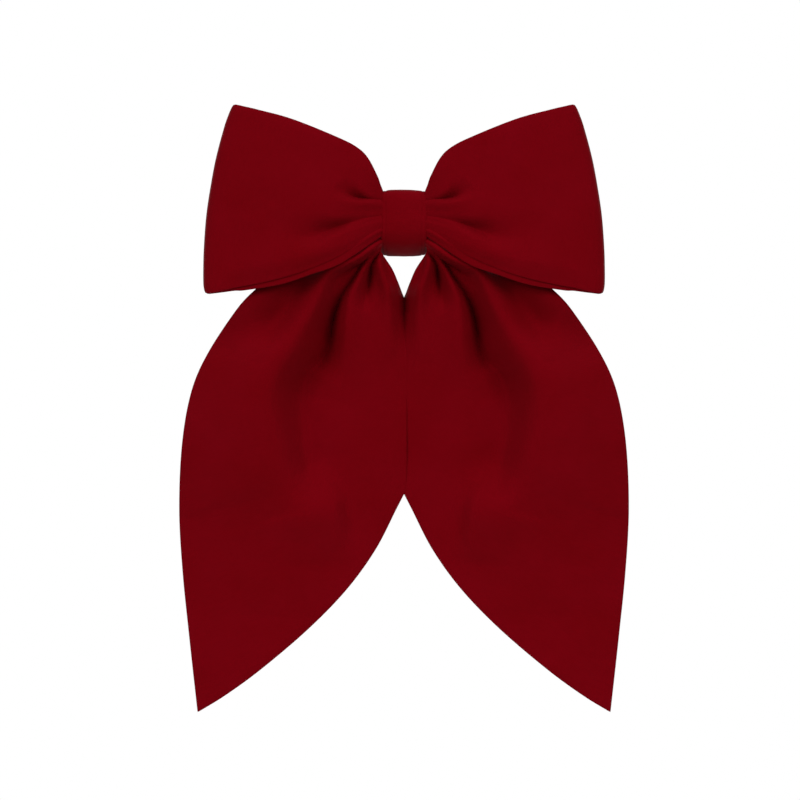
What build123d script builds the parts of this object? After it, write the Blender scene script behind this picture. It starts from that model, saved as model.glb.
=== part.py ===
"""Hair bow: two pinched cloth loops, two long tails and a knot band, sewn to a sprung hair clip.

Frame: millimetres, +Z up as worn. The bow's front faces -Y and the head is on the +Y side.
The origin is the middle of the space where the clip grips the hair.
"""

from build123d import *
from math import pi, sin, sqrt
import os

os.makedirs("parts", exist_ok=True)

# ------------------------------------------------------------ driving dimensions
HALF_WIDTH = 100.0  # the tails' outer edges, from the middle of the bow
TAIL_BOTTOM = -217.8  # height of the tails' pointed tips
TAIL_SPLIT = -118.7  # height where the tails' inner edges part
LOOP_TOP = 52.4  # height of the loops' upper outer corners
LOOP_BOTTOM = -31.0  # height of the loops' lower outer corners
LOOP_REACH = 89.0  # furthest reach of a loop's outer fold
CLOTH = 2.0  # the doubled cloth with its stiffening, as a plain solid

KNOT_HALF_WIDTH = 10.65
KNOT_HALF_HEIGHT = 14.2
KNOT_FRONT = -31.5
KNOT_BACK = -6.4
KNOT_CLOTH = 1.2

PLATE_MIDDLE = -9.0  # the clip plate's mid surface at the top of its arch
PLATE_RADIUS = 71.0
PLATE_THICKNESS = 0.5
PLATE_WIDTH = 9.0
PLATE_HALF_LENGTH = 40.5
PLATE_END = -1.6  # front face of the plate's flat ends

BAR_MIDDLE = -3.4  # the tension bar's mid surface at the top of its bow
BAR_RADIUS = 114.0
BAR_THICKNESS = 0.3
BAR_WIDTH = 6.0
BAR_END = 0.75  # front face of the bar's flat tongues
BAR_HALF_LENGTH = 34.2

PIN_X, PIN_Y = -37.0, 3.2
PIN_RADIUS = 0.75
ARM_FRONT = 4.0
ARM_THICKNESS = 0.8
ARM_HALF_WIDTH = 3.4
EYE_RADIUS = 1.6
CATCH_X = 37.2
PRONG_LENGTH = 3.2
PRONG_INNER, PRONG_OUTER = 1.2, 1.7
PRONG_FOOT = 0.45  # where a prong starts to flex, above the catch's own side lug

HINGE_Z = -36.0  # line where the tails bend away from the gathered cloth
TAIL_DEPTH = -12.5  # the tails' middle surface
CENTRE_GAP = 0.3  # each tail's clearance from the middle plane


# ------------------------------------------------------------ shared shapes
def arch_y(x, middle, radius, shift):
    """Depth at x of an arch whose middle surface has this radius, on the surface at this shift."""
    return middle + radius - sqrt((radius + shift) ** 2 - x**2)


def arch_x(y, middle, radius, shift):
    """Where the same surface reaches a depth."""
    return sqrt((radius + shift) ** 2 - (middle + radius - y) ** 2)


def arched_strip(middle, radius, thickness, end_front, half_length):
    """Edge-on outline of a metal strip: an arch between two flat ends."""
    front, back = thickness / 2, -thickness / 2
    end_back = end_front + thickness
    front_x = arch_x(end_front, middle, radius, front)
    back_x = arch_x(end_back, middle, radius, back)
    with BuildSketch(mode=Mode.PRIVATE) as strip:
        with BuildLine():
            Line((-half_length, end_front), (-front_x, end_front))
            ThreePointArc((-front_x, end_front), (0, middle - front), (front_x, end_front))
            Polyline((front_x, end_front), (half_length, end_front), (half_length, end_back), (back_x, end_back))
            ThreePointArc((back_x, end_back), (0, middle - back), (-back_x, end_back))
            Polyline((-back_x, end_back), (-half_length, end_back), (-half_length, end_front))
        make_face()
    return strip.sketch


def loop_reach(z):
    """How far out a loop's folded outer edge lies at a height."""
    return LOOP_REACH - 13.5 * ((z + 20.0) / 72.4) ** 2


def loop_section(z):
    """Plan outline of the cloth ring at a height: front wall, outer fold and back wall."""
    reach = loop_reach(z)
    outer = [(9, -26), (36, -38), (reach - 18, -37), (reach, -28), (reach - 18, -18), (36, -17), (9, -17)]
    inner = [(9, -24), (36, -36), (reach - 18, -35), (reach - 2, -28), (reach - 18, -20), (36, -19), (9, -19)]
    with BuildSketch(Plane.XY.offset(z)) as section:
        with BuildLine():
            Spline(*outer)
            Line(outer[-1], inner[-1])
            Spline(*inner)
            Line(inner[0], outer[0])
        make_face()
    return section.sketch


def fold_wave(x, swell):
    """Depth of a tail's folds across its width."""
    return TAIL_DEPTH + swell * sin(2 * pi * x / 34.0)


def wavy_strip(x_from, x_to, z, swell):
    """Plan outline of cloth that lies in soft upright folds."""
    count = 12
    xs = [x_from + (x_to - x_from) * i / count for i in range(count + 1)]
    front = [(x, fold_wave(x, swell) - CLOTH / 2) for x in xs]
    back = [(x, fold_wave(x, swell) + CLOTH / 2) for x in xs]
    with BuildSketch(Plane.XY.offset(z)) as strip:
        with BuildLine():
            Spline(*front)
            Line(front[-1], back[-1])
            Spline(*back)
            Line(back[0], front[0])
        make_face()
    return strip.sketch


# ------------------------------------------------------------ loops: one strip, pinched in the middle
SECTION_HEIGHTS = [-33.0, -12.0, 10.0, 32.0, 54.0]
PINCH_TOP, PINCH_BOTTOM = 11.6, -5.5
PINCH_FRONT, PINCH_BACK = -26.0, -17.5

with BuildPart() as loop_right:
    loft([loop_section(z) for z in SECTION_HEIGHTS])
    with BuildSketch(Plane.XZ):
        with BuildLine():
            Polyline((9, PINCH_BOTTOM), (9, PINCH_TOP), (10.9, PINCH_TOP), (11.4, 16.5))
            Spline((11.4, 16.5), (16, 28), (28.9, 36.9), (49.3, 45.8), (75.5, LOOP_TOP))
            Polyline((75.5, LOOP_TOP), (92, LOOP_TOP), (92, LOOP_BOTTOM), (88, LOOP_BOTTOM))
            Spline((88, LOOP_BOTTOM), (54.2, -26.7), (28.9, -17.3), (11.1, -6.7))
            Polyline((11.1, -6.7), (9, PINCH_BOTTOM))
        make_face()
    extrude(amount=60, mode=Mode.INTERSECT)

with BuildPart() as loop_band:
    add(loop_right.part)
    mirror(loop_right.part, about=Plane.YZ)
    with BuildSketch(Plane.YZ.offset(-KNOT_HALF_WIDTH)):
        with Locations(((PINCH_FRONT + PINCH_BACK) / 2, (PINCH_TOP + PINCH_BOTTOM) / 2)):
            RectangleRounded(PINCH_BACK - PINCH_FRONT, PINCH_TOP - PINCH_BOTTOM, 1.5)
    extrude(amount=2 * KNOT_HALF_WIDTH)
loop_band.part.label = "loop_band"
export_step(loop_band.part, "parts/loop_band.step")

# ------------------------------------------------------------ tail strip: gathered middle and two fans
GATHER_FRONT, GATHER_BACK = -15.6, -10.4
GATHER_HALF_HEIGHT = 11.5
FAN_FRONT, FAN_THICKNESS = -14.5, 3.6
FAN_BOTTOM = HINGE_Z + 1.6

with BuildPart() as tail_fan:
    with BuildSketch(Plane.XZ.offset(-FAN_FRONT)):
        with BuildLine():
            Polyline((9, -9.8), (9, -4), (11.5, -4), (19, -8.5))
            Spline((19, -8.5), (40, -18.5), (65, -26.5))
            Polyline((65, -26.5), (69.6, FAN_BOTTOM), (CENTRE_GAP, FAN_BOTTOM))
            Spline((CENTRE_GAP, FAN_BOTTOM), (2.7, -25.3), (7.6, -16.4), (11.1, -14.8))
            Polyline((11.1, -14.8), (11.1, -11.5), (9, -9.8))
        make_face()
    extrude(amount=-FAN_THICKNESS)

with BuildPart() as tail_root:
    with BuildSketch(Plane.YZ.offset(-KNOT_HALF_WIDTH)):
        with BuildLine():
            Polyline(
                (GATHER_FRONT, GATHER_HALF_HEIGHT),
                (-12.8, GATHER_HALF_HEIGHT),
                (GATHER_BACK, 8.6),
                (GATHER_BACK, -8.6),
                (-12.8, -GATHER_HALF_HEIGHT),
                (GATHER_FRONT, -GATHER_HALF_HEIGHT),
                close=True,
            )
        make_face()
    extrude(amount=2 * KNOT_HALF_WIDTH)
    add(tail_fan.part)
    mirror(tail_fan.part, about=Plane.YZ)
tail_root.part.label = "tail_root"
export_step(tail_root.part, "parts/tail_root.step")

# ------------------------------------------------------------ the two hanging tails
TAIL_TOP = HINGE_Z - 1.6
TAIL_SWELL = 3.5

with BuildPart() as tail_right:
    extrude(wavy_strip(0, HALF_WIDTH + 2, TAIL_BOTTOM - 1, TAIL_SWELL), amount=TAIL_TOP - TAIL_BOTTOM + 1)
    with BuildSketch(Plane.XZ.offset(30)):
        with BuildLine():
            Polyline((71.5, TAIL_TOP), (CENTRE_GAP, TAIL_TOP), (CENTRE_GAP, TAIL_SPLIT))
            Spline((CENTRE_GAP, TAIL_SPLIT), (8, -136.4), (25.8, -163.1), (53.8, -189.8), (92, TAIL_BOTTOM))
            Spline(
                (92, TAIL_BOTTOM), (97.8, -167.5), (HALF_WIDTH, -127.5), (96.9, -87.5), (86.2, -56.4), (71.5, TAIL_TOP)
            )
        make_face()
    extrude(amount=-60, mode=Mode.INTERSECT)
tail_right.part.label = "tail_right"
export_step(tail_right.part, "parts/tail_right.step")

with BuildPart() as tail_left:
    mirror(tail_right.part, about=Plane.YZ)
tail_left.part.label = "tail_left"
export_step(tail_left.part, "parts/tail_left.step")

# ------------------------------------------------------------ knot band, wrapped round cloth and clip plate
KNOT_OUTLINE = [
    (KNOT_FRONT, KNOT_HALF_HEIGHT),
    (-12.0, KNOT_HALF_HEIGHT),
    (KNOT_BACK, 7.4),
    (KNOT_BACK, -7.4),
    (-12.0, -KNOT_HALF_HEIGHT),
    (KNOT_FRONT, -KNOT_HALF_HEIGHT),
]

with BuildPart() as knot_band:
    with BuildSketch(Plane.YZ.offset(-KNOT_HALF_WIDTH)) as knot_section:
        with BuildLine():
            Polyline(*KNOT_OUTLINE, close=True)
        make_face()
        fillet(knot_section.vertices().group_by(Axis.X)[0], 5.0)
        fillet(knot_section.vertices().sort_by(Axis.X)[-2:], 1.6)
        offset(amount=-KNOT_CLOTH, mode=Mode.SUBTRACT)
    extrude(amount=2 * KNOT_HALF_WIDTH)
knot_band.part.label = "knot_band"
export_step(knot_band.part, "parts/knot_band.step")

# ------------------------------------------------------------ threads
THREAD = 0.6
THREAD_CLEARANCE = 0.1


def thread_turns(outline, xs):
    """Turns of thread drawn tight round a gathered section."""
    with BuildPart(mode=Mode.PRIVATE) as turns:
        for x in xs:
            with BuildSketch(Plane.YZ.offset(x - THREAD / 2)):
                add(outline)
                offset(amount=THREAD_CLEARANCE + THREAD, kind=Kind.ARC)
                with BuildSketch(mode=Mode.PRIVATE) as hollow:
                    add(outline)
                    offset(amount=THREAD_CLEARANCE, kind=Kind.ARC)
                add(hollow.sketch, mode=Mode.SUBTRACT)
            extrude(amount=THREAD)
        fillet(turns.edges().filter_by(Plane.YZ), 0.2)
    return turns.part


with BuildSketch() as loop_pinch_outline:
    with Locations(((PINCH_FRONT + PINCH_BACK) / 2, (PINCH_TOP + PINCH_BOTTOM) / 2)):
        RectangleRounded(PINCH_BACK - PINCH_FRONT, PINCH_TOP - PINCH_BOTTOM, 1.5)

with BuildSketch() as tail_gather_outline:
    with BuildLine():
        Polyline(
            (GATHER_FRONT, GATHER_HALF_HEIGHT),
            (-12.8, GATHER_HALF_HEIGHT),
            (GATHER_BACK, 8.6),
            (GATHER_BACK, -8.6),
            (-12.8, -GATHER_HALF_HEIGHT),
            (GATHER_FRONT, -GATHER_HALF_HEIGHT),
            close=True,
        )
    make_face()

with BuildPart() as loop_gather_thread:
    add(thread_turns(loop_pinch_outline.sketch, [-1.6, -0.8, 0.0, 0.8, 1.6]))
loop_gather_thread.part.label = "loop_gather_thread"
export_step(loop_gather_thread.part, "parts/loop_gather_thread.step")

with BuildPart() as tail_gather_thread:
    add(thread_turns(tail_gather_outline.sketch, [-1.6, -0.8, 0.0, 0.8, 1.6]))
tail_gather_thread.part.label = "tail_gather_thread"
export_step(tail_gather_thread.part, "parts/tail_gather_thread.step")

STITCH_RADIUS = 0.25
STITCH_LENGTH = 3.4
STITCH_COUNT = 6
STITCH_PITCH = 2.0

with BuildPart() as knot_stitches:
    for row in range(STITCH_COUNT):
        height = (row - (STITCH_COUNT - 1) / 2) * STITCH_PITCH
        with BuildSketch(Plane.YZ.offset(-STITCH_LENGTH / 2)):
            with Locations((KNOT_BACK + STITCH_RADIUS + 0.02, height)):
                Circle(STITCH_RADIUS)
        extrude(amount=STITCH_LENGTH)
knot_stitches.part.label = "knot_stitches"
export_step(knot_stitches.part, "parts/knot_stitches.step")

# ------------------------------------------------------------ clip plate with ears and lugs
SEWING_HOLE_RADIUS = 0.8
SEWING_HOLE_HEIGHT = 2.5
END_HOLES = [-27.0, -20.0, 20.0, 27.0]
TIE_X = 6.0
LUG_X = 33.1
LUG_THICKNESS = 0.5
LUG_TOP = 2.2
TONGUE_HALF_WIDTH = 1.4
EAR_THICKNESS = 0.6
EAR_RADIUS = 2.0
RIVET_RADIUS = 0.6
plate_end_back = PLATE_END + PLATE_THICKNESS

with BuildPart() as barrette_plate:
    with BuildSketch(Plane.XY.offset(-PLATE_WIDTH / 2)):
        add(arched_strip(PLATE_MIDDLE, PLATE_RADIUS, PLATE_THICKNESS, PLATE_END, PLATE_HALF_LENGTH))
    extrude(amount=PLATE_WIDTH)
    fillet(barrette_plate.edges().filter_by(Axis.Y).group_by(Axis.X)[-1], 3.0)
    fillet(barrette_plate.edges().filter_by(Axis.Y).group_by(Axis.X)[0], 1.0)
    # Ears that carry the hinge pin, one at each long edge.
    for side in (PLATE_WIDTH / 2 - EAR_THICKNESS, -PLATE_WIDTH / 2):
        with BuildSketch(Plane.XY.offset(side)):
            with Locations((PIN_X, PIN_Y)):
                Circle(EAR_RADIUS)
            with Locations((PIN_X, (PIN_Y + plate_end_back) / 2)):
                Rectangle(2 * EAR_RADIUS, PIN_Y - plate_end_back + 0.2)
            with Locations((PIN_X, PIN_Y)):
                Circle(PIN_RADIUS + 0.02, mode=Mode.SUBTRACT)
        extrude(amount=EAR_THICKNESS)
    # Slotted lugs that hold the tension bar's tongues.
    for lug in (-LUG_X - LUG_THICKNESS, LUG_X):
        with BuildSketch(Plane.YZ.offset(lug)):
            with Locations(((plate_end_back + LUG_TOP) / 2 - 0.1, 0)):
                Rectangle(LUG_TOP - plate_end_back + 0.2, 5.4)
            with Locations(((plate_end_back + 1.25) / 2, 0)):
                Rectangle(1.25 - plate_end_back, 2 * TONGUE_HALF_WIDTH + 0.6, mode=Mode.SUBTRACT)
        extrude(amount=LUG_THICKNESS)
    # Sewing holes along the plate, the ties' holes under the knot, and the rivet's hole.
    with BuildSketch(Plane.XZ.offset(-10)):
        with Locations(*[(x, 0) for x in END_HOLES]):
            Circle(SEWING_HOLE_RADIUS)
        with Locations(*[(x, z) for x in (-TIE_X, TIE_X) for z in (-SEWING_HOLE_HEIGHT, SEWING_HOLE_HEIGHT)]):
            Circle(SEWING_HOLE_RADIUS)
        with Locations((CATCH_X, 0)):
            Circle(RIVET_RADIUS + 0.02)
    extrude(amount=25, mode=Mode.SUBTRACT)
barrette_plate.part.label = "barrette_plate"
export_step(barrette_plate.part, "parts/barrette_plate.step")

# ------------------------------------------------------------ ties that sew the plate to the gathered cloth
TIE_LEG_RADIUS = 0.18
tie_back = arch_y(TIE_X, PLATE_MIDDLE, PLATE_RADIUS, -PLATE_THICKNESS / 2)

with BuildPart() as plate_ties:
    for x in (-TIE_X, TIE_X):
        with BuildSketch(Plane.XZ.offset(-GATHER_BACK - 0.02)):
            with Locations((x, SEWING_HOLE_HEIGHT), (x, -SEWING_HOLE_HEIGHT)):
                Circle(TIE_LEG_RADIUS)
        extrude(amount=-(tie_back - GATHER_BACK + STITCH_RADIUS))
        with BuildSketch(Plane.XY.offset(-SEWING_HOLE_HEIGHT - 2 * TIE_LEG_RADIUS)):
            with Locations((x, tie_back + STITCH_RADIUS + 0.03)):
                Circle(STITCH_RADIUS)
        extrude(amount=2 * SEWING_HOLE_HEIGHT + 4 * TIE_LEG_RADIUS)
plate_ties.part.label = "plate_ties"
export_step(plate_ties.part, "parts/plate_ties.step")

# ------------------------------------------------------------ tension bar
with BuildPart() as tension_bar:
    with BuildSketch(Plane.XY.offset(-BAR_WIDTH / 2)):
        add(arched_strip(BAR_MIDDLE, BAR_RADIUS, BAR_THICKNESS, BAR_END, BAR_HALF_LENGTH))
    extrude(amount=BAR_WIDTH)
    with BuildSketch(Plane.XZ.offset(10)):
        RectangleRounded(2 * (LUG_X - 0.8), BAR_WIDTH, 1.2)
        RectangleRounded(2 * BAR_HALF_LENGTH, 2 * TONGUE_HALF_WIDTH, 0.6)
    extrude(amount=-20, mode=Mode.INTERSECT)
tension_bar.part.label = "tension_bar"
export_step(tension_bar.part, "parts/tension_bar.step")

# ------------------------------------------------------------ clasp arm
ARM_TIP = 42.5
ARM_SLOT_HALF = 27.0
WINDOW_LENGTH, WINDOW_HEIGHT = 5.0, 4.8

with BuildPart() as clasp_arm:
    with BuildSketch(Plane.XZ.offset(-ARM_FRONT - ARM_THICKNESS)):
        with Locations(((PIN_X + ARM_TIP) / 2, 0)):
            Rectangle(ARM_TIP - PIN_X, 2 * ARM_HALF_WIDTH)
        SlotOverall(2 * ARM_SLOT_HALF, 3.4, mode=Mode.SUBTRACT)
        with Locations((CATCH_X, 0)):
            RectangleRounded(WINDOW_LENGTH, WINDOW_HEIGHT, 0.6, mode=Mode.SUBTRACT)
    extrude(amount=ARM_THICKNESS)
    fillet(clasp_arm.edges().filter_by(Axis.Y).group_by(Axis.X)[-1], 2.6)
    # The turned-up lip that a finger lifts.
    with BuildSketch(Plane.XY.offset(-1.8)):
        with BuildLine():
            Polyline((40.2, 4.4), (42.2, 6.0), (42.8, 5.6), (42.4, 4.6), (41.4, 4.0), (40.2, 4.0), close=True)
        make_face()
    extrude(amount=3.6)
    # The rolled eye on the hinge pin.
    with BuildSketch(Plane.XY.offset(-ARM_HALF_WIDTH)):
        with Locations((PIN_X, PIN_Y)):
            Circle(EYE_RADIUS)
    extrude(amount=2 * ARM_HALF_WIDTH)
    with BuildSketch(Plane.XY.offset(-ARM_HALF_WIDTH)):
        with Locations((PIN_X, PIN_Y)):
            Circle(PIN_RADIUS + 0.06)
    extrude(amount=2 * ARM_HALF_WIDTH, mode=Mode.SUBTRACT)
clasp_arm.part.label = "clasp_arm"
export_step(clasp_arm.part, "parts/clasp_arm.step")

# ------------------------------------------------------------ hinge pin
PIN_HEAD_RADIUS = 1.2
PIN_HEAD = 0.5

with BuildPart() as hinge_pin:
    with BuildSketch(Plane.XY.offset(-PLATE_WIDTH / 2 - 0.05)):
        with Locations((PIN_X, PIN_Y)):
            Circle(PIN_RADIUS)
    extrude(amount=PLATE_WIDTH + 0.1)
    for head in (-PLATE_WIDTH / 2 - 0.05 - PIN_HEAD, PLATE_WIDTH / 2 + 0.05):
        with BuildSketch(Plane.XY.offset(head)):
            with Locations((PIN_X, PIN_Y)):
                Circle(PIN_HEAD_RADIUS)
        extrude(amount=PIN_HEAD)
    fillet(hinge_pin.edges().group_by(Axis.Z)[0] + hinge_pin.edges().group_by(Axis.Z)[-1], 0.3)
hinge_pin.part.label = "hinge_pin"
export_step(hinge_pin.part, "parts/hinge_pin.step")

# ------------------------------------------------------------ catch, its rivet and its two sprung prongs
CATCH_FROM, CATCH_TO = 34.6, 40.2
CATCH_THICKNESS = 0.5
catch_back = plate_end_back + 0.02 + CATCH_THICKNESS

with BuildPart() as catch_base:
    with BuildSketch(Plane.XZ.offset(-catch_back)):
        with Locations(((CATCH_FROM + CATCH_TO) / 2, 0)):
            RectangleRounded(CATCH_TO - CATCH_FROM, 6.8, 1.0)
        with Locations((CATCH_X, 0)):
            Circle(RIVET_RADIUS + 0.02, mode=Mode.SUBTRACT)
    extrude(amount=CATCH_THICKNESS)
    # Side lugs that the prongs grow from.
    for low in (PRONG_INNER, -PRONG_OUTER):
        with BuildSketch(Plane.XY.offset(low)):
            with Locations((CATCH_X, (catch_back + PRONG_FOOT - 0.25) / 2 - 0.1)):
                Rectangle(PRONG_LENGTH, PRONG_FOOT - 0.25 - catch_back + 0.2)
        extrude(amount=PRONG_OUTER - PRONG_INNER)
catch_base.part.label = "catch_base"
export_step(catch_base.part, "parts/catch_base.step")

RIVET_HEAD_RADIUS = 1.0

with BuildPart() as catch_rivet:
    with BuildSketch(Plane.XZ.offset(-catch_back - 0.02)):
        with Locations((CATCH_X, 0)):
            Circle(RIVET_RADIUS)
    extrude(amount=catch_back - PLATE_END + 0.04)
    with BuildSketch(Plane.XZ.offset(-catch_back - 0.37)):
        with Locations((CATCH_X, 0)):
            Circle(RIVET_HEAD_RADIUS)
    extrude(amount=0.35)
    with BuildSketch(Plane.XZ.offset(-PLATE_END + 0.02)):
        with Locations((CATCH_X, 0)):
            Circle(RIVET_HEAD_RADIUS)
    extrude(amount=0.35)
catch_rivet.part.label = "catch_rivet"
export_step(catch_rivet.part, "parts/catch_rivet.step")

PRONG_TIP = 7.0
BARB_REACH = 2.2

with BuildPart() as catch_prong_upper:
    with BuildSketch(Plane.YZ.offset(CATCH_X - PRONG_LENGTH / 2)):
        with BuildLine():
            Polyline(
                (PRONG_FOOT, PRONG_INNER),
                (PRONG_TIP, PRONG_INNER),
                (PRONG_TIP, PRONG_OUTER - 0.2),
                (6.3, PRONG_OUTER),
                (5.1, BARB_REACH),
                (5.1, PRONG_OUTER),
                (PRONG_FOOT, PRONG_OUTER),
                close=True,
            )
        make_face()
    extrude(amount=PRONG_LENGTH)
catch_prong_upper.part.label = "catch_prong_upper"
export_step(catch_prong_upper.part, "parts/catch_prong_upper.step")

with BuildPart() as catch_prong_lower:
    mirror(catch_prong_upper.part, about=Plane.XY)
catch_prong_lower.part.label = "catch_prong_lower"
export_step(catch_prong_lower.part, "parts/catch_prong_lower.step")
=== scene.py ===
"""A large bow of deep red cloth, gathered under a wrapped knot, on a sprung hair clip."""

import bpy
import numpy as np
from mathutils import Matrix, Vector, noise


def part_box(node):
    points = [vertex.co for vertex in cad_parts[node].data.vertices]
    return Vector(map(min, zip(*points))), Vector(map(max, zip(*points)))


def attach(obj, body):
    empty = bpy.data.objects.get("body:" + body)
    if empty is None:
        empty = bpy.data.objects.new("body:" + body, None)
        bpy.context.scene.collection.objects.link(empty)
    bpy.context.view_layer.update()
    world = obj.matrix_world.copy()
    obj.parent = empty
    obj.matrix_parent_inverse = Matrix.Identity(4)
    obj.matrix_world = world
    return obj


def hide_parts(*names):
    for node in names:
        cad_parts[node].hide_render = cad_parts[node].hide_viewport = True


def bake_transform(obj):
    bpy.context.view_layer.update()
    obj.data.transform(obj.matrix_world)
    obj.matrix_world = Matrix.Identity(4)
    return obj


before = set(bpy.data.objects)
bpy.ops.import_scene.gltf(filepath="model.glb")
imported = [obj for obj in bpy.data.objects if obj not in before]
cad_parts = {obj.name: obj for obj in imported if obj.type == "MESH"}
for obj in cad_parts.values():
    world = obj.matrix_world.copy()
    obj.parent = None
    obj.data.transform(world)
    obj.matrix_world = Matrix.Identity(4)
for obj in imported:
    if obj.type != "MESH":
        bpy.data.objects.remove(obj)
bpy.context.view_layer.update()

MM = 0.001
scene = bpy.context.scene

# Places taken from the frame, in millimetres.
tail_low, tail_high = (np.array(c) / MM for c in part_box("tail_left"))
knot_low, knot_high = (np.array(c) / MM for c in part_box("knot_band"))

KNOT_SIDE = knot_high[0]
KNOT_TOP = knot_high[2]
TAIL_MIDDLE = (tail_low[1] + tail_high[1]) / 2
TIP_Z = tail_low[2]


# ------------------------------------------------------------------ camera
def make_camera():
    """Straight in front of the bow and far away, so that near and far folds keep their true sizes."""
    lens, sensor = 250.0, 36.0
    seen_width = 0.3556
    bow_plane = -0.020
    middle_x, middle_z = -0.0018, -0.0787
    data = bpy.data.cameras.new("camera")
    data.lens, data.sensor_width = lens, sensor
    data.clip_end = 20
    camera = bpy.data.objects.new("camera", data)
    scene.collection.objects.link(camera)
    camera.location = (middle_x, bow_plane - seen_width / sensor * lens, middle_z)
    camera.rotation_euler = (np.pi / 2, 0, 0)
    scene.camera = camera


# ------------------------------------------------------------------ node helpers
def new_material(name):
    material = bpy.data.materials.new(name)
    material.use_nodes = True
    nodes = material.node_tree.nodes
    return material, nodes, material.node_tree.links, nodes["Principled BSDF"]


def add_node(nodes, kind, **sockets):
    """A shader node with values set on its sockets; underscores in a socket's name stand for spaces."""
    node = nodes.new(kind)
    for key, value in sockets.items():
        node.inputs[key.replace("_", " ")].default_value = value
    return node


def ramp(nodes, stops):
    node = nodes.new("ShaderNodeValToRGB")
    elements = node.color_ramp.elements
    while len(elements) < len(stops):
        elements.new(0.5)
    for element, (place, colour) in zip(elements, stops):
        element.position = place
        element.color = (*colour, 1)
    return node


def bump(nodes, links, height, strength, distance, below=None):
    node = add_node(nodes, "ShaderNodeBump", Strength=strength, Distance=distance)
    links.new(height, node.inputs["Height"])
    if below is not None:
        links.new(below, node.inputs["Normal"])
    return node.outputs["Normal"]


# ------------------------------------------------------------------ materials
def cloth_material():
    """Matte crepe with a satin back: fine crossing threads, a pebbled grain and a soft sheen."""
    material, nodes, links, shader = new_material("bow_crepe")
    shader.inputs["Roughness"].default_value = 0.78
    shader.inputs["Specular IOR Level"].default_value = 0.15
    shader.inputs["Specular Tint"].default_value = (1, 0.02, 0.05, 1)
    shader.inputs["Sheen Weight"].default_value = 0.03
    shader.inputs["Sheen Roughness"].default_value = 0.5
    shader.inputs["Sheen Tint"].default_value = (1, 0.03, 0.06, 1)
    flat = nodes.new("ShaderNodeUVMap")
    flat.uv_map = "flat"
    place = nodes.new("ShaderNodeTexCoord")
    # Dye that took unevenly, and threads that differ a little.
    dye = add_node(nodes, "ShaderNodeTexNoise", Scale=38.0, Detail=4.0, Roughness=0.55)
    links.new(place.outputs["Object"], dye.inputs["Vector"])
    tone = ramp(nodes, [(0.3, (0.106, 0.0003, 0.0021)), (0.7, (0.116, 0.0005, 0.0029))])
    links.new(dye.outputs["Fac"], tone.inputs["Fac"])
    slub = add_node(nodes, "ShaderNodeTexNoise", Scale=1.0, Detail=2.0)
    stretched = add_node(nodes, "ShaderNodeMapping")
    stretched.inputs["Scale"].default_value = (2600, 160, 1)
    links.new(flat.outputs["UV"], stretched.inputs["Vector"])
    links.new(stretched.outputs["Vector"], slub.inputs["Vector"])
    thread_tone = ramp(nodes, [(0.25, (0.93, 0.93, 0.93)), (0.75, (1.05, 1.05, 1.05))])
    links.new(slub.outputs["Fac"], thread_tone.inputs["Fac"])
    mix = nodes.new("ShaderNodeMix")
    mix.data_type, mix.blend_type = "RGBA", "MULTIPLY"
    mix.inputs["Factor"].default_value = 1
    links.new(tone.outputs["Color"], mix.inputs[6])
    links.new(thread_tone.outputs["Color"], mix.inputs[7])
    links.new(mix.outputs[2], shader.inputs["Base Color"])
    # Weave: two sets of threads. The bands of a wave texture lie 2 pi / 20 apart at scale 1.
    thread_pitch = 0.00028
    weave_scale = 2 * np.pi / thread_pitch / 20
    threads = []
    for direction in ("X", "Y"):
        wave = add_node(nodes, "ShaderNodeTexWave", Scale=weave_scale, Distortion=0.6, Detail=1.0)
        wave.inputs["Detail Scale"].default_value = 2.0
        wave.bands_direction = direction
        links.new(flat.outputs["UV"], wave.inputs["Vector"])
        threads.append(wave.outputs["Fac"])
    cross = nodes.new("ShaderNodeMath")
    cross.operation = "MAXIMUM"
    links.new(threads[0], cross.inputs[0])
    links.new(threads[1], cross.inputs[1])
    grain = add_node(nodes, "ShaderNodeTexNoise", Scale=1500.0, Detail=3.0, Roughness=0.6)
    links.new(place.outputs["Object"], grain.inputs["Vector"])
    rumple = add_node(nodes, "ShaderNodeTexNoise", Scale=120.0, Detail=3.0, Roughness=0.5)
    links.new(place.outputs["Object"], rumple.inputs["Vector"])
    normal = bump(nodes, links, cross.outputs[0], 0.35, 0.00006)
    normal = bump(nodes, links, grain.outputs["Fac"], 0.30, 0.00012, normal)
    normal = bump(nodes, links, rumple.outputs["Fac"], 0.15, 0.0006, normal)
    links.new(normal, shader.inputs["Normal"])
    return material


def thread_material():
    """Twisted sewing thread, with painted shade in the grooves of its twist and painted light on its
    crests.
    """
    material, nodes, links, shader = new_material("sewing_thread")
    shader.inputs["Roughness"].default_value = 0.55
    shader.inputs["Sheen Weight"].default_value = 0.25
    place = nodes.new("ShaderNodeTexCoord")
    turned = add_node(nodes, "ShaderNodeMapping")
    turned.inputs["Rotation"].default_value = (0.6, 0.5, 0.7)
    links.new(place.outputs["Object"], turned.inputs["Vector"])
    twist = add_node(nodes, "ShaderNodeTexWave", Scale=900.0, Distortion=1.2, Detail=2.0)
    links.new(turned.outputs["Vector"], twist.inputs["Vector"])
    # Painted shade and light: the colour follows the twist, darker in its grooves and lighter on its
    # crests, the same pattern that raises the bump.
    tone = ramp(nodes, [(0.2, (0.06, 0.0005, 0.002)), (0.8, (0.17, 0.002, 0.007))])
    links.new(twist.outputs["Fac"], tone.inputs["Fac"])
    links.new(tone.outputs["Color"], shader.inputs["Base Color"])
    links.new(bump(nodes, links, twist.outputs["Fac"], 0.6, 0.0001), shader.inputs["Normal"])
    return material


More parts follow.
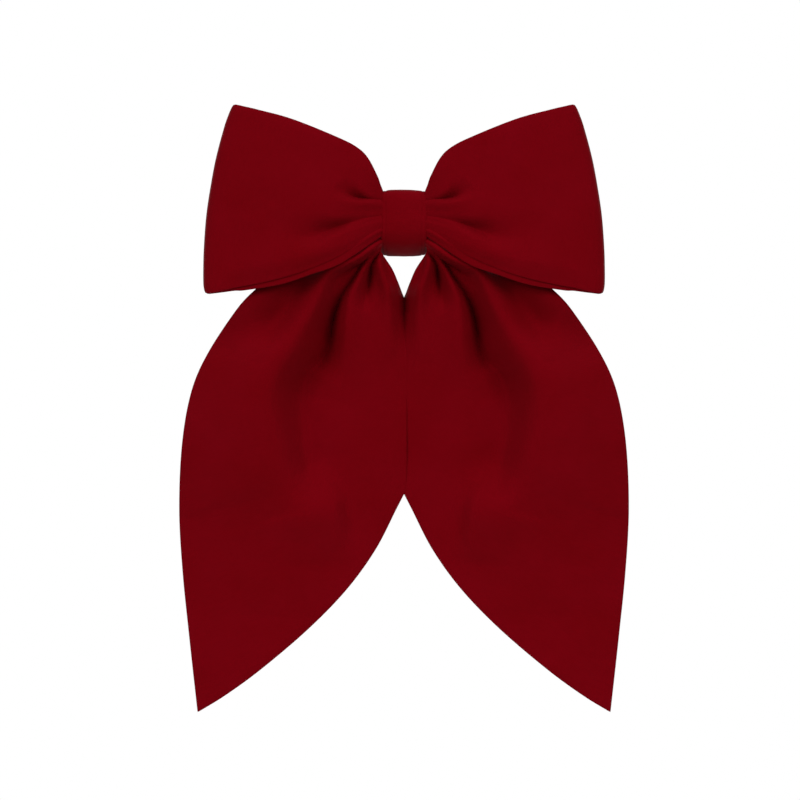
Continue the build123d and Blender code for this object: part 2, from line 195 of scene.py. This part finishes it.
def metal_material(name, colours, roughness, grain_scale, wear=0.5):
    """Plated or bright steel: rolled grain along its length, fine scratches and faint tarnish."""
    material, nodes, links, shader = new_material(name)
    shader.inputs["Metallic"].default_value = 1
    place = nodes.new("ShaderNodeTexCoord")
    along = add_node(nodes, "ShaderNodeMapping")
    along.inputs["Scale"].default_value = grain_scale
    links.new(place.outputs["Object"], along.inputs["Vector"])
    brushed = add_node(nodes, "ShaderNodeTexNoise", Scale=1.0, Detail=5.0, Roughness=0.65)
    links.new(along.outputs["Vector"], brushed.inputs["Vector"])
    tarnish = add_node(nodes, "ShaderNodeTexNoise", Scale=260.0, Detail=4.0, Roughness=0.6)
    links.new(place.outputs["Object"], tarnish.inputs["Vector"])
    tone = ramp(nodes, [(0.35, colours[0]), (0.62, colours[1])])
    links.new(tarnish.outputs["Fac"], tone.inputs["Fac"])
    links.new(tone.outputs["Color"], shader.inputs["Base Color"])
    dull = nodes.new("ShaderNodeMapRange")
    dull.inputs["To Min"].default_value = roughness[0]
    dull.inputs["To Max"].default_value = roughness[1]
    links.new(brushed.outputs["Fac"], dull.inputs["Value"])
    links.new(dull.outputs["Result"], shader.inputs["Roughness"])
    links.new(bump(nodes, links, brushed.outputs["Fac"], wear, 0.00003), shader.inputs["Normal"])
    return material


def stage_material():
    """Matt off-white paper."""
    material, nodes, links, shader = new_material("studio_paper")
    shader.inputs["Roughness"].default_value = 0.9
    fibre = add_node(nodes, "ShaderNodeTexNoise", Scale=300.0, Detail=3.0)
    tone = ramp(nodes, [(0.0, (0.70, 0.70, 0.69)), (1.0, (0.74, 0.74, 0.73))])
    links.new(fibre.outputs["Fac"], tone.inputs["Fac"])
    links.new(tone.outputs["Color"], shader.inputs["Base Color"])
    return material


# ------------------------------------------------------------------ studio
def make_studio():
    scene.view_settings.view_transform = "Standard"
    # A white surround to look at, and a soft light that is strongest from above and in front.
    world = bpy.data.worlds.new("studio")
    scene.world = world
    world.use_nodes = True
    nodes, links = world.node_tree.nodes, world.node_tree.links
    nodes.clear()
    out = nodes.new("ShaderNodeOutputWorld")
    seen = add_node(nodes, "ShaderNodeBackground", Color=(1, 1, 1, 1), Strength=1.0)
    lit = add_node(nodes, "ShaderNodeBackground", Strength=0.75)
    place = nodes.new("ShaderNodeTexCoord")
    towards = nodes.new("ShaderNodeVectorMath")
    towards.operation = "DOT_PRODUCT"
    towards.inputs[1].default_value = Vector((0, -0.5, 0.86)).normalized()
    links.new(place.outputs["Generated"], towards.inputs[0])
    spread = nodes.new("ShaderNodeMapRange")
    spread.inputs["From Min"].default_value = -1
    links.new(towards.outputs["Value"], spread.inputs["Value"])
    levels = ((0.0, 0.02), (0.5, 0.18), (0.75, 0.55), (1.0, 1.2))
    sky = ramp(nodes, [(height, (level, level, level)) for height, level in levels])
    links.new(spread.outputs["Result"], sky.inputs["Fac"])
    links.new(sky.outputs["Color"], lit.inputs["Color"])
    which = nodes.new("ShaderNodeLightPath")
    mix = nodes.new("ShaderNodeMixShader")
    links.new(which.outputs["Is Camera Ray"], mix.inputs["Fac"])
    links.new(lit.outputs["Background"], mix.inputs[1])
    links.new(seen.outputs["Background"], mix.inputs[2])
    links.new(mix.outputs["Shader"], out.inputs["Surface"])

    bow_middle = Vector((0, 0, -0.08))
    for name, place, size, power in (
        ("left", (-1.15, -1.4, 0.8), 0.8, 18.5),
        ("right", (1.15, -1.4, 0.8), 0.8, 18.5),
        ("top", (0, -0.9, 1.5), 0.9, 6.5),
        ("back left", (-1.3, 1.6, 0.5), 1.2, 13),
        ("back right", (1.3, 1.6, 0.5), 1.2, 13),
    ):
        data = bpy.data.lights.new(name, "AREA")
        data.size = size
        data.energy = power
        lamp = bpy.data.objects.new(name, data)
        lamp.location = place
        aim = bow_middle - Vector(place)
        lamp.rotation_euler = aim.to_track_quat("-Z", "Y").to_euler()
        scene.collection.objects.link(lamp)

    bpy.ops.mesh.primitive_circle_add(vertices=96, radius=0.7, fill_type="NGON", location=(0, 0, -0.36))
    floor = bpy.context.object
    floor.name = "floor"
    floor.data.materials.append(stage_material())


# ------------------------------------------------------------------ surfaces
def spline(points, count):
    """count places evenly spaced along a smooth curve through the points."""
    p = np.array(points, float)
    ends = np.vstack([2 * p[0] - p[1], p, 2 * p[-1] - p[-2]])
    t = np.linspace(0, 1, 24, endpoint=False)[:, None]
    fine = [
        0.5 * (2 * b + (c - a) * t
               + (2 * a - 5 * b + 4 * c - d) * t**2 + (3 * b - a - 3 * c + d) * t**3)
        for a, b, c, d in zip(ends, ends[1:], ends[2:], ends[3:])
    ]
    fine = np.vstack([*fine, p[-1:]])
    walked = np.r_[0, np.cumsum(np.linalg.norm(np.diff(fine[:, :2], axis=0), axis=1))]
    at = np.linspace(0, walked[-1], count)
    return np.stack([np.interp(at, walked, fine[:, k]) for k in range(p.shape[1])], 1)


def smooth(t):
    """An even step from 0 to 1."""
    t = np.clip(t, 0, 1)
    return t**2 * (3 - 2 * t)


def patch(bottom, top, near, far):
    """A grid between four edges: bottom and top run outwards, near and far run upwards."""
    n, m = len(bottom), len(near)
    s = np.linspace(0, 1, n)[:, None, None]
    t = np.linspace(0, 1, m)[None, :, None]
    ruled = (1 - t) * bottom[:, None] + t * top[:, None] + (1 - s) * near[None] + s * far[None]
    corners = (1 - s) * ((1 - t) * bottom[0] + t * top[0]) + s * ((1 - t) * bottom[-1] + t * top[-1])
    return ruled - corners


def fold(x, z, rows, steep=2):
    """Height that one fold adds at each place. A row is a place on its crest, the height there, and how
    far it spreads to the left and to the right of its course, going along it. A valley is below zero.
    The lower steep is, the sharper the crest and the longer the slopes."""
    spacing, chunk = 0.8, 20000
    length = np.linalg.norm(np.diff(np.array(rows)[:, :2], axis=0), axis=1).sum()
    steps = max(12, int(length / spacing))
    px, pz, height, left, right = spline(rows, steps).T
    tx, tz = np.gradient(px), np.gradient(pz)
    size = np.hypot(tx, tz)
    tx, tz = tx / size, tz / size
    flat_x, flat_z = x.ravel(), z.ravel()
    out = np.zeros_like(flat_x)
    for start in range(0, len(flat_x), chunk):
        cut = slice(start, start + chunk)
        dx, dz = flat_x[cut, None] - px, flat_z[cut, None] - pz
        k = np.argmin(dx**2 + dz**2, axis=1)
        rows_at = np.arange(len(k))
        dx, dz = dx[rows_at, k], dz[rows_at, k]
        aside = tx[k] * dz - tz[k] * dx
        along = k + (tx[k] * dx + tz[k] * dz) / size[k]
        past = np.clip(np.maximum(-along, along - (steps - 1)), 0, None) * size[k]
        at = np.clip(along, 0, steps - 1)
        h, on_left, on_right = (np.interp(at, np.arange(steps), row) for row in (height, left, right))
        w = np.where(aside > 0, on_left, on_right)
        out[cut] = h * np.exp(-(np.abs(aside / w) ** steep) - (past / w) ** 2)
    return out.reshape(x.shape)


def ripple(grid, size, height, seed):
    """Slight unevenness, waves about size across, added along the depth."""
    shift = Vector((seed * 17.3, seed * 5.1, seed * 9.7))
    flat = grid.reshape(-1, 3)
    added = np.array([noise.fractal(Vector(p) / size + shift, 1.0, 2.0, 3) for p in flat])
    return added.reshape(grid.shape[:2]) * height


def soften(height, times=2):
    """Evens out steps between neighbouring grid points."""
    for _ in range(times):
        for axis in (0, 1):
            height = np.swapaxes(height, 0, axis)
            height[1:-1] = (height[:-2] + 2 * height[1:-1] + height[2:]) / 4
            height = np.swapaxes(height, 0, axis)
    return height


def normals_of(grid, ring):
    """Unit normals of a grid; ring says that its first way round is closed."""
    if ring:
        du = (np.roll(grid, -1, 0) - np.roll(grid, 1, 0)) / 2
    else:
        du = np.gradient(grid, axis=0)
    n = np.cross(du, np.gradient(grid, axis=1))
    return n / np.linalg.norm(n, axis=2, keepdims=True)


def pressed_edges(grid, ring, thickness):
    """Thickness at each grid point: the pressed edges are thinner than the middle of the cloth."""
    press, edge_share, fullness = 3.5, 0.36, 0.6

    def walked(points):
        steps = np.diff(points, axis=1, prepend=points[:, :1])
        return np.cumsum(np.linalg.norm(steps, axis=2), axis=1)

    def from_edges(points):
        return np.minimum(walked(points), walked(points[:, ::-1])[:, ::-1])

    away = from_edges(grid)
    if not ring:
        away = np.minimum(away, from_edges(grid.transpose(1, 0, 2)).T)
    return thickness * (edge_share + (1 - edge_share) * np.clip(away / press, 0, 1) ** fullness)


def shell(name, grid, flat, thickness, material, ring=False):
    """A closed layer of doubled cloth round a grid of middle points, with half-round edges. flat gives
    each grid point's place on the cloth, in millimetres."""
    n, m = grid.shape[:2]
    normal = normals_of(grid, ring)
    half = pressed_edges(grid, ring, thickness)[..., None] / 2
    if ring:
        loops = [[(i, 0) for i in range(n)], [(i, m - 1) for i in reversed(range(n))]]
    else:
        loops = [
            [(i, 0) for i in range(n)]
            + [(n - 1, j) for j in range(1, m)]
            + [(i, m - 1) for i in reversed(range(n - 1))]
            + [(0, j) for j in reversed(range(1, m - 1))]
        ]
    index = np.arange(n * m).reshape(n, m)
    points = [(grid + normal * half).reshape(-1, 3), (grid - normal * half).reshape(-1, 3)]
    places = [flat.reshape(-1, 2)] * 2
    turn = [(i, i + 1) for i in range(n - 1)] + ([(n - 1, 0)] if ring else [])
    faces = []
    for a, b in turn:
        for j in range(m - 1):
            faces.append((index[a, j], index[b, j], index[b, j + 1], index[a, j + 1]))
            faces.append(tuple(n * m + index[k] for k in ((a, j), (a, j + 1), (b, j + 1), (b, j))))
    count = 2 * n * m
    edge_steps = 4
    for loop in loops:
        i, j = np.array(loop).T
        edge = grid[i, j]
        run = np.roll(edge, -1, 0) - np.roll(edge, 1, 0)
        out = np.cross(run, normal[i, j])
        out /= np.linalg.norm(out, axis=1, keepdims=True)
        previous = index[i, j]
        for step in range(1, edge_steps):
            angle = np.pi * step / edge_steps
            points.append(edge + half[i, j] * (np.cos(angle) * normal[i, j] + np.sin(angle) * out))
            places.append(flat[i, j])
            current = count + np.arange(len(loop))
            count += len(loop)
            for k in range(len(loop)):
                q = (k + 1) % len(loop)
                faces.append((previous[k], current[k], current[q], previous[q]))
            previous = current
        last = n * m + index[i, j]
        for k in range(len(loop)):
            q = (k + 1) % len(loop)
            faces.append((previous[k], last[k], last[q], previous[q]))
    mesh = bpy.data.meshes.new(name)
    mesh.from_pydata((np.vstack(points) * MM).tolist(), [], [tuple(int(v) for v in f) for f in faces])
    layer = mesh.uv_layers.new(name="flat")
    corner = np.zeros(len(mesh.loops), int)
    mesh.loops.foreach_get("vertex_index", corner)
    layer.data.foreach_set("uv", (np.vstack(places)[corner] * MM).ravel())
    mesh.shade_smooth()
    mesh.update()
    piece = bpy.data.objects.new(name, mesh)
    scene.collection.objects.link(piece)
    mesh.materials.append(material)
    return piece


def cloth_places(n, m, length, width):
    """Each grid point's place on the flat cloth, in millimetres."""
    return np.stack(np.meshgrid(np.linspace(0, length, n), np.linspace(0, width, m), indexing="ij"), 2)


# ------------------------------------------------------------------ loops
LOOP_ROWS = 120
LOOP_COLUMNS = 118

loop_top_edge = [
    (0, 8.6), (7, 9.6), (10.2, 15.6), (11.8, 20), (16, 28), (20.6, 32.6), (29, 37), (49.3, 45.2),
    (64.9, 49.6), (71, 51.1), (73.6, 51.75), (75.2, 51.95), (75.98, 51.2),
]
loop_lower_edge = [
    (0, -2.6), (7, -2.9), (12.5, -4.9), (21, -10.2), (30.2, -15.6), (38.5, -19.3), (47.1, -22.5),
    (57, -25.3), (67.1, -27.5), (74, -28.7), (80, -30.0), (84.3, -30.95), (86.6, -31.4),
    (87.9, -31.0),
]
loop_back_lower_edge = [
    (0, -3.4), (7, -4.2), (12.5, -7.8), (21.5, -14.0), (28.9, -18.6), (34.5, -20.9), (40.2, -22.7),
    (54.2, -27.3), (70, -29.9), (75, -30.15), (80, -30.8), (84.3, -31.3), (86.6, -31.5),
    (87.9, -31.0),
]
loop_outer_edge = [
    (87.9, -31.0), (88.15, -29.7), (88.3, -27), (88.35, -22), (88.1, -12), (87.1, 2), (85.4, 14),
    (82.8, 28), (79.1, 42), (77.2, 47.5), (76.35, 50.0), (75.98, 51.2),
]

front_folds = [
    # The dimple above the middle, and the ridge under it.
    [(9, 9.6, -0.3, 0.6, 0.5), (14.5, 10.2, -0.7, 1.0, 0.7), (18.5, 10.4, -2.6, 2.0, 1.0),
     (22, 11.0, -3.4, 3.4, 1.2), (25.4, 13, -1.8, 3.8, 2.4), (29.5, 17, 0, 4, 4)],
    [(9, 7.8, 0.3, 1.2, 1.6), (19, 8.4, 0.9, 1.2, 3), (27, 9.4, 0.5, 2.2, 4), (40, 12.5, 0, 4, 5)],
    # The valley that widens outwards, and the broad ridge whose upper edge is sharp.
    [(9, 3.0, -0.2, 0.7, 0.5), (16, 1.9, -0.4, 1.0, 0.7), (22, 0.4, -1.2, 2.0, 1.2),
     (28, -1.6, -3.0, 2.6, 1.9), (34, -4.0, -4.0, 4.6, 2.4), (41, -6.0, -2.6, 6, 4),
     (50, -5.6, -1.1, 7, 6), (64, -2, 0, 9, 9)],
    [(9, 0.4, 0.4, 1.1, 2.4), (18, -2.4, 0.5, 1.3, 7), (28, -6.4, 0.7, 2.2, 10),
     (37, -10.8, 0.8, 3, 11), (47, -14.0, 0.5, 5, 11), (62, -18, 0, 8, 9)],
]
back_folds = [
    [(8, 8, -1.5, 1.5, 1.5), (22, 15, -1.6, 3, 3), (45, 27, 0, 7, 7)],
    [(8, 3, -1.6, 1.5, 1.5), (24, 2, -1.8, 3.5, 3), (52, 0, 0, 8, 8)],
    [(8, -2, -1.2, 1.4, 1.4), (24, -8, -1.4, 3, 3), (48, -16, 0, 7, 7)],
]


# Depth of the front and the back wall, from 0 at the pinch to 1 at the outer fold.
front_section = [
    (0, -28.6), (0.09, -29.6), (0.16, -31.2), (0.27, -33.8), (0.44, -36.2), (0.66, -36.2),
    (0.86, -33.2), (0.96, -30.6), (1, -28),
]
back_section = [
    (0, -19.4), (0.1, -18.9), (0.25, -18.2), (0.5, -17.9), (0.72, -19), (0.88, -22.2),
    (0.965, -25.4), (1, -28),
]


def loop_wall(bottom, section, folds, facing, seed, adjust):
    """One wall of the right loop, from the middle outwards and from the lower edge up. facing is 1 for
    the front wall and -1 for the back wall; adjust changes the smooth wall's depth before its folds."""
    course = np.linspace(0, 1, LOOP_COLUMNS)
    top, far = spline(loop_top_edge, LOOP_COLUMNS), spline(loop_outer_edge, LOOP_ROWS)
    near = np.linspace(bottom[0], top[0], LOOP_ROWS)
    outline = patch(bottom, top, near, far)
    x, z = outline[..., 0], outline[..., 1]
    y = np.repeat(np.interp(course, *spline(section, 400).T)[:, None], LOOP_ROWS, 1)
    y = adjust(y, course[:, None], np.linspace(0, 1, LOOP_ROWS)[None, :], top)
    grid = np.stack([x, y, z], 2)
    height = sum(fold(x, z, rows) for rows in folds) + ripple(grid, 26, 0.5, seed)
    # Folds and unevenness die out before the outer fold, where the two walls meet.
    calm = np.clip((1 - course[:, None]) * 8, 0, 1)
    grid[..., 1] -= facing * calm * height
    return grid


def half_loop():
    """Front and back wall of the right loop. The lower rim of the front wall turns back a little, and
    the back wall's lowest strip, which shows below it, lies close behind the rim."""
    rim_turn, rim_share, strip_fade = 1.6, 0.12, 0.36
    gap, gap_midway = 0.9, 0.3
    rim, strip_edge = (spline(edge, LOOP_COLUMNS) for edge in (loop_lower_edge, loop_back_lower_edge))

    def midway(course):
        return smooth((course - 0.15) / 0.35) * smooth((1 - course) / 0.2)

    def turn_rim(y, course, up, top):
        return y + rim_turn * midway(course) * smooth(1 - up / rim_share)

    def close_strip(y, course, up, top):
        strip = ((rim - strip_edge)[:, 1] / (top - strip_edge)[:, 1])[:, None]
        close = smooth(1 - (up - strip) / strip_fade) * np.clip(course / 0.06, 0, 1)
        return y + close * (front[:, :1, 1] + gap + gap_midway * midway(course) - y)

    front = loop_wall(rim, front_section, front_folds, 1, 1, turn_rim)
    back = loop_wall(strip_edge, back_section, back_folds, -1, 2, close_strip)
    back[-1] = front[-1]
    return front, back


def make_loops(cloth):
    front, back = half_loop()
    right = np.concatenate([front, back[-2::-1]])
    left = right * (-1, 1, 1)
    ring = np.concatenate([right, left[::-1][1:-1]])
    n, m = ring.shape[:2]
    strip_length, strip_width = 356.0, 85.0
    flat = cloth_places(n, m, strip_length, strip_width)
    piece = shell("loop_cloth", ring, flat, 1.3, cloth, ring=True)
    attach(piece, "root")
    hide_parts("loop_band")


# ------------------------------------------------------------------ tails
TAIL_COLUMNS = 180
TAIL_ROWS = 240

tail_inner_edge = [
    (5, -8.6), (9.4, -10.2), (10.3, -12.8), (8.7, -15.6), (5.4, -20.6), (3, -26), (1.3, -30.4),
    (-0.6, -36), (-1, -46), (-1, -80), (-1, -118.2),
]
tail_outer_edge = [
    (6, -4), (12, -6), (40, -15.5), (58, -23.5), (66.2, -30.2), (74.2, -38.7), (86.2, -56.4),
    (94.2, -74.2), (98.6, -98), (100, -127.5), (98.6, -155), (95.6, -185), (92, TIP_Z),
]
tail_cut = [
    (-1, -118.2), (3.6, -127.2), (12.9, -145.3), (25.8, -163.1), (43.1, -180.9), (64, -198.7),
    (80, -210.4), (92, TIP_Z),
]
tail_gather = [(5, -8.6), (5.5, -6.3), (6, -4)]

tail_folds = [
    # The outer roll: along the underside of the loop, then down and out over the tail, ever broader.
    [(9.5, -7.6, 3.0, 3.0, 1.6), (14, -11.2, 6.6, 4.4, 1.8), (20, -15.5, 8.6, 5.4, 1.9),
     (27, -18.9, 10.0, 6, 2.1), (32.4, -21.6, 9.2, 7, 2.9), (36, -27, 7.6, 7, 4.0),
     (39.4, -35, 7.2, 7.4, 4.9), (43.4, -43, 7.8, 8, 6.6), (48.4, -51, 9.0, 10, 9.2),
     (53.6, -59, 11.0, 16, 11.5), (57.6, -67, 12.0, 24, 11.5), (60.4, -76, 12.2, 32, 13),
     (60, -88, 12.0, 38, 13.5), (56, -104, 10.6, 40, 12.5), (50.5, -120, 7, 42, 12),
     (47, -145, 3, 42, 13), (46, -175, 0, 42, 14)],
    # The middle lobe.
    [(10.5, -11.5, 1.4, 1, 1), (13.6, -15.4, 2.8, 1.1, 1.3), (17.6, -20, 3.8, 1.2, 1.8),
     (20.4, -25.6, 3.8, 1.4, 2.6), (23.4, -31.8, 3.4, 1.6, 4.4), (24.4, -39, 3.0, 2.2, 6),
     (25.0, -51, 2.4, 3.0, 8), (27, -74, 0, 7, 10)],
    # The inner lobe.
    [(10.4, -13.4, 1.4, 0.8, 0.8), (10.9, -18.4, 3.2, 1.5, 1.6), (9, -25, 3.0, 2, 2.2),
     (7, -31.6, 2.6, 2.8, 2.2), (6.4, -45, 1.4, 3.4, 2.6), (7.5, -60, 0, 5, 4)],
    # The soft hollow outside the roll, the bulge above it, the short crease, a wave near the cut.
    [(50, -30, 0, 6, 5), (55, -40, -1.6, 6, 5), (59, -48, -1.8, 6, 5), (62.5, -57, 0, 6, 4)],
    [(50, -22, 1, 5, 4), (58, -28, 5.5, 8, 8), (67, -34, 6.5, 9, 10), (82, -52, 0, 8, 10)],
    [(69.5, -61.6, 0, 1, 1), (65.5, -62.2, -0.6, 1.1, 1.1), (60.4, -61.4, 0, 1, 1)],
    [(42, -108, 0, 8, 5), (34, -120, 3.6, 14, 5), (31, -131, 4.6, 18, 5), (30, -152, 0, 18, 6)],
]
tail_valleys = [
    # Beside the outer roll: sharp against the middle lobe, soft on the roll's side.
    [(20.4, -21.6, -1.4, 1.2, 0.8), (24.2, -27, -3.0, 1.9, 1.2), (27, -31, -4.6, 2.2, 1.5),
     (29.4, -36, -8.2, 3.6, 1.7), (31.2, -42, -10.2, 5, 1.9), (32.4, -49, -8.9, 7, 2.1),
     (33.4, -55, -5.2, 8, 3), (36, -61, -2, 8, 5), (40, -66, 0, 7, 7)],
    # It turns outwards, then runs on down, softer.
    [(32, -52, -3, 6, 4), (36.5, -60, -7.6, 8, 6), (42, -66, -9, 8, 8), (46, -73, -8.4, 8, 9),
     (47, -84, -6.8, 9, 9), (46, -96, -6.0, 9, 9), (43, -109, -5.0, 9, 9), (40, -124, 0, 8, 9)],
    # Under the first stretch of the roll.
    [(14.4, -13.4, -1.0, 0.9, 0.9), (18.6, -17.2, -2.8, 1.0, 1.1), (22.2, -19.2, -3.4, 1.2, 1.2),
     (26.4, -21.4, -2.2, 1.5, 1.3), (32, -24, 0, 1.8, 1.5)],
    # Between the middle and the inner lobe.
    [(11, -13.4, -2, 0.8, 0.8), (14.3, -17.6, -5.2, 1.3, 0.9), (15.0, -22.6, -5.4, 2.2, 1.6),
     (16.4, -30, -3.4, 3, 3), (19, -40, 0, 4, 4)],
    # Where the two tails' edges roll back beside each other.
    [(0, -27, -6, 2.4, 2.4), (-0.6, -36, -10, 4.4, 4.4), (-1, -44, -8.5, 5, 5),
     (-1, -56, -4, 5.4, 5.4), (-1, -84, 0, 5, 5)],
]


# How far forwards the tail stands, by height.
tail_swell = [(-220, 0), (-180, 0.8), (-120, 2.4), (-80, 4.4), (-50, 7.4), (-32, 9), (0, 9)]


def tail_grid(side):
    """Middle surface of one tail, from the gather down and from the inner edge outwards."""
    turned_back, lap_gap, uneven = 3.0, 0.32, 0.55
    inner = spline(tail_inner_edge, TAIL_ROWS)
    outer = spline(tail_outer_edge, TAIL_ROWS)
    gather = spline(tail_gather, TAIL_COLUMNS)
    cut = spline(tail_cut, TAIL_COLUMNS)
    outline = patch(inner, outer, gather, cut)
    x, z = outline[..., 0], outline[..., 1]
    height = sum(fold(x, z, rows) for rows in tail_folds)
    height = soften(height + sum(fold(x, z, rows, steep=1.5) for rows in tail_valleys))
    # It is held close behind the loops, swells forwards below them and is flatter towards its tip.
    swell = np.interp(z, *spline(tail_swell, 200).T)
    lower = spline(loop_back_lower_edge, 120)
    under_loop = np.interp(x, lower[:, 0], lower[:, 1]) - z
    beside_knot = 3.0 * np.exp(-((x - 8) ** 2 + (z + 10) ** 2) / 14.0**2)
    height += swell * smooth((under_loop + 15) / 17) + beside_knot * smooth((under_loop + 4) / 6)
    # Its outer edge turns back a little.
    across = np.linspace(0, 1, TAIL_COLUMNS)[None, :]
    height -= turned_back * np.clip((across - 0.7) / 0.3, 0, 1) ** 2 * smooth((-28 - z) / 24)
    # The left tail lies in front of the right one where they overlap.
    lap = np.exp(-(((x + 1) / 5) ** 2)) * np.clip((-28 - z) / 8, 0, 1)
    height += (lap_gap if side < 0 else -lap_gap) * lap
    grid = np.stack([x, TAIL_MIDDLE - height, z], 2)
    grid[..., 1] -= ripple(grid, 30, uneven, 3 if side < 0 else 4)
    return grid * (side, 1, 1)


def make_tail(side, body, cloth):
    grid = tail_grid(side)
    n, m = grid.shape[:2]
    flat = cloth_places(n, m, length=235, width=120)
    piece = shell("tail_cloth_" + body.split("_")[1], grid, flat, 1.2, cloth)
    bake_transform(piece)
    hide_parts(body, "tail_root")


def make_tail_middle(cloth):
    """The tail strip's gathered middle, pleated like an accordion where it passes through the knot."""
    pleats, reach, deep, half_height = 11, 8.0, 2.0, 11.0
    along = np.linspace(-1, 1, 25)[:, None]
    across = np.linspace(0, 1, pleats * 16 + 1)[None, :]
    pinch = 1 - 0.06 * np.cos(np.pi * along)
    y = TAIL_MIDDLE - 0.4 + deep * pinch * np.sin(2 * np.pi * pleats * across)
    z = half_height * pinch * (2 * across - 1)
    grid = np.stack([reach * along + 0 * across, y, z], 2)
    cut_width = 96.0
    flat = np.stack(np.broadcast_arrays(reach * (1 + along), cut_width * across), 2)
    piece = shell("tail_cloth_middle", grid, flat, 0.8, cloth)
    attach(piece, "root")
    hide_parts("tail_root")


# ------------------------------------------------------------------ knot
def make_knot(cloth):
    """A folded band, pulled tight round the gathered cloth, its two long edges meeting at the back."""
    front, top, back = knot_low[1], KNOT_TOP, knot_high[1]
    upper = [
        (back, 0), (back - 0.3, 6.4), (back - 3.5, 11.4), (-14, 13.7), (-23, top), (-29, 13.9),
        (-31.1, 11.6), (front, 3.0),
    ]
    lower = [
        (front, -1.0), (-30.6, -5.4), (-27.8, -9.8), (-22.6, -13.3), (-17, -top - 0.4), (-12.5, -13.7),
        (back - 3.5, -11.4), (back - 0.3, -6.4),
    ]
    outline = upper + lower + [(back, 0)]
    around = spline(outline, 241)[:-1]
    n, m = len(around), 61
    run = np.roll(around, -1, 0) - np.roll(around, 1, 0)
    out = np.stack([-run[:, 1], run[:, 0]], 1) / np.linalg.norm(run, axis=1, keepdims=True)
    if (out * (around - (-19, 0))).sum() < 0:
        out = -out
    across = np.linspace(-1, 1, m)
    forward = np.clip((back - around[:, 0]) / (back - front), 0, 1)
    half_width = KNOT_SIDE - 0.9 + 0.5 * forward
    x = half_width[:, None] * across[None, :]
    # A soft crown with falling edges, a pressed line beside each edge, the closing seam at the back.
    aside = np.abs(across)
    crown = 0.6 * (1 - aside**2.4) - 0.5 * np.clip((aside - 0.86) / 0.14, 0, 1) ** 2
    hem_line = -0.22 * np.exp(-(((aside - 0.8) / 0.03) ** 2))
    seam = -0.5 * np.exp(-((across / 0.04) ** 2))
    lift = (crown + hem_line)[None, :] + seam[None, :] * (forward < 0.12)[:, None]
    centre = around[:, None] + out[:, None] * (lift[..., None] - 0.9)
    grid = np.stack([x, centre[..., 0], centre[..., 1]], 2)
    grid[..., 1:] += out[:, None] * ripple(grid, 9, 0.22, 6)[..., None]
    length = np.linalg.norm(run, axis=1).sum() / 2
    flat = cloth_places(n, m, length, width=22)
    piece = shell("knot_cloth", grid, flat, 1.1, cloth, ring=True)
    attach(piece, "root")
    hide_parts("knot_band")


# ------------------------------------------------------------------ metal and thread finishes
def finish_cad_nodes(thread):
    plated = metal_material(
        "nickel_plated_steel", ((0.56, 0.55, 0.52), (0.66, 0.65, 0.62)), (0.22, 0.38), (60, 900, 900))
    spring = metal_material(
        "spring_steel", ((0.42, 0.42, 0.43), (0.54, 0.54, 0.54)), (0.20, 0.34), (40, 1200, 1200))
    bright = metal_material(
        "polished_pin_steel", ((0.66, 0.65, 0.63), (0.74, 0.73, 0.71)), (0.10, 0.20), (400, 400, 400),
        wear=0.2)
    finishes = {
        "barrette_plate": plated, "clasp_arm": plated,
        "tension_bar": spring, "catch_base": spring,
        "catch_prong_upper": spring, "catch_prong_lower": spring,
        "hinge_pin": bright, "catch_rivet": bright,
        "loop_gather_thread": thread, "tail_gather_thread": thread,
        "knot_stitches": thread, "plate_ties": thread,
    }
    for name, material in finishes.items():
        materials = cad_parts[name].data.materials
        materials.clear()
        materials.append(material)


make_camera()
make_studio()
cloth = cloth_material()
make_loops(cloth)
make_tail(-1, "tail_left", cloth)
make_tail(1, "tail_right", cloth)
make_tail_middle(cloth)
make_knot(cloth)
finish_cad_nodes(thread_material())
